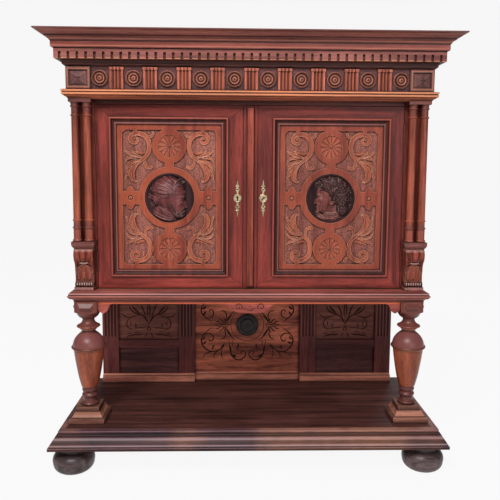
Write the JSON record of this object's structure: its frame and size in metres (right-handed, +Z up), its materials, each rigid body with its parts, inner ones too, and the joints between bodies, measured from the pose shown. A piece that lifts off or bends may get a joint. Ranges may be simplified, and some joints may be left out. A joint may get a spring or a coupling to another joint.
{
  "type": "carved two-door credenza",
  "caption": "Carved wooden credenza: a dentil cornice over a cupboard with hinged panelled doors, raised on turned balusters above an open shelf on bun feet.",
  "frame": {"origin": "on the floor, at the middle of the object's footprint", "axes": "+Z up, +X to the right of someone facing the doors, +Y to the wall behind"},
  "size_m": [1.43, 0.5608, 1.527],
  "materials": {
    "case_wood": "waxed, satin",
    "carved_wood": "waxed, satin",
    "dark_wood": "dark polish",
    "brass": "aged, satin",
    "iron": "dull, oiled"
  },
  "bodies": {
    "case": {"base_front": "case_wood", "base_returns": "case_wood", "shelf_board": "case_wood", "foot_blocks": "case_wood", "balusters": "case_wood", "baluster_plinths": "case_wood", "front_apron": "case_wood", "side_aprons": "case_wood", "back_pilasters": "case_wood", "back_rails": "case_wood", "lower_back_panels": "case_wood", "back_skirting": "case_wood", "waist_front": "case_wood", "waist_returns": "case_wood", "case_bottom": "case_wood", "corner_posts": "case_wood", "rear_posts": "case_wood", "side_panels": "case_wood", "case_back": "case_wood", "case_top": "case_wood", "header_rail": "case_wood", "inner_shelf": "case_wood", "columns": "case_wood", "abaci": "case_wood", "imposts": "case_wood", "corbels": "case_wood", "architrave_front": "case_wood", "architrave_returns": "case_wood", "frieze_boards": "case_wood", "triglyphs": "case_wood", "rosettes": "case_wood", "corner_blocks": "case_wood", "dentil_front": "case_wood", "dentil_returns": "case_wood", "crown_front": "case_wood", "crown_returns": "case_wood", "top_board": "case_wood", "carved_back_panels": "carved_wood", "centre_back_panel": "carved_wood", "feet": "dark_wood", "centre_boss": "dark_wood", "post_hinge_leaves": "iron"},
    "left_door": {"door_left_frame": "case_wood", "door_left_panel": "carved_wood", "door_left_moulding": "case_wood", "astragal": "case_wood", "escutcheon_left": "brass", "lock_case": "iron", "left_hinge_leaves": "iron"},
    "right_door": {"door_right_frame": "case_wood", "door_right_panel": "carved_wood", "door_right_moulding": "case_wood", "escutcheon_right": "brass", "lock_keeper": "iron", "bolt_guides": "iron", "right_hinge_leaves": "iron"},
    "lock_bolt": {"lock_bolt": "iron"},
    "top_bolt": {"top_bolt": "iron"},
    "bottom_bolt": {"bottom_bolt": "iron"}
  },
  "joints": [
    {"name": "left_door_hinge", "type": "hinge", "parent": "case", "child": "left_door", "pos_m": [-0.546, -0.126, 0.96], "axis": [0, 0, -1], "range_deg": [0, 90]},
    {"name": "right_door_hinge", "type": "hinge", "parent": "case", "child": "right_door", "pos_m": [0.546, -0.126, 0.96], "axis": [0, 0, 1], "range_deg": [0, 90]},
    {"name": "lock_bolt_slide", "type": "slide", "parent": "left_door", "child": "lock_bolt", "axis": [1, 0, 0], "range_m": [0, 0.018]},
    {"name": "top_bolt_slide", "type": "slide", "parent": "right_door", "child": "top_bolt", "axis": [0, 0, 1], "range_m": [0, 0.012]},
    {"name": "bottom_bolt_slide", "type": "slide", "parent": "right_door", "child": "bottom_bolt", "axis": [0, 0, -1], "range_m": [0, 0.012]}
  ]
}
